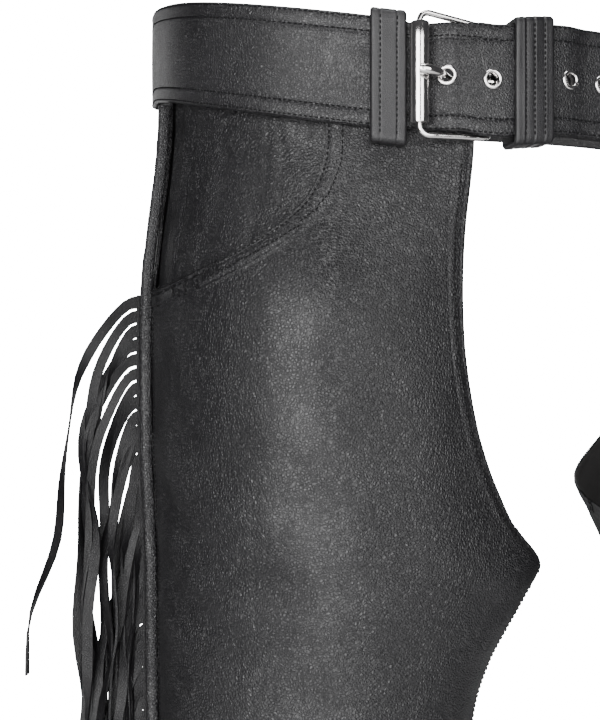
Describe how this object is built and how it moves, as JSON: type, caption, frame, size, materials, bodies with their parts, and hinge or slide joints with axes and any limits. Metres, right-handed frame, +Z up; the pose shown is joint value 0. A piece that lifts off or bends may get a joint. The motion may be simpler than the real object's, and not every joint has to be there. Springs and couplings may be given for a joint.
{
  "type": "fringed leather chaps",
  "caption": "Black pebble-grain leather chaps with a buckled belt, open seat and fly, curved front pockets and long cut fringe down each outside seam.",
  "frame": {"origin": "middle of the waist, level with the middle of the belt by the buckle, where the wearer's waist holds the chaps up", "axes": "+Z up, -Y the way the wearer faces, +X to the wearer's left"},
  "size_m": [0.6239, 0.2736, 1.1048],
  "materials": {
    "belt_leather": "black pebble grain, semi-gloss",
    "eyelet_metal": "polished nickel plate",
    "keeper_leather": "black pebble grain, semi-gloss",
    "belt_loop_leather": "black pebble grain, semi-gloss",
    "buckle_metal": "polished nickel plate",
    "front_panel_R_leather": "black pebble grain, semi-gloss",
    "back_panel_R_leather": "black pebble grain, semi-gloss",
    "pocket_facing_R_leather": "black pebble grain, semi-gloss",
    "outseam_R_leather": "black pebble grain, semi-gloss",
    "fringe_R_leather": "black pebble grain, semi-gloss",
    "front_panel_L_leather": "black pebble grain, semi-gloss",
    "back_panel_L_leather": "black pebble grain, semi-gloss",
    "pocket_facing_L_leather": "black pebble grain, semi-gloss",
    "outseam_L_leather": "black pebble grain, semi-gloss",
    "fringe_L_leather": "black pebble grain, semi-gloss"
  },
  "bodies": {
    "root": {"belt": "belt_leather", "eyelet_1": "eyelet_metal", "eyelet_2": "eyelet_metal", "eyelet_3": "eyelet_metal", "eyelet_4": "eyelet_metal", "eyelet_5": "eyelet_metal", "eyelet_6": "eyelet_metal", "eyelet_7": "eyelet_metal", "keeper": "keeper_leather", "belt_loop": "belt_loop_leather", "buckle_frame": "buckle_metal", "roller": "buckle_metal", "prong": "buckle_metal", "front_panel_R": "front_panel_R_leather", "back_panel_R": "back_panel_R_leather", "pocket_facing_R": "pocket_facing_R_leather", "outseam_R": "outseam_R_leather", "fringe_R": "fringe_R_leather", "front_panel_L": "front_panel_L_leather", "back_panel_L": "back_panel_L_leather", "pocket_facing_L": "pocket_facing_L_leather", "outseam_L": "outseam_L_leather", "fringe_L": "fringe_L_leather"}
  },
  "joints": []
}
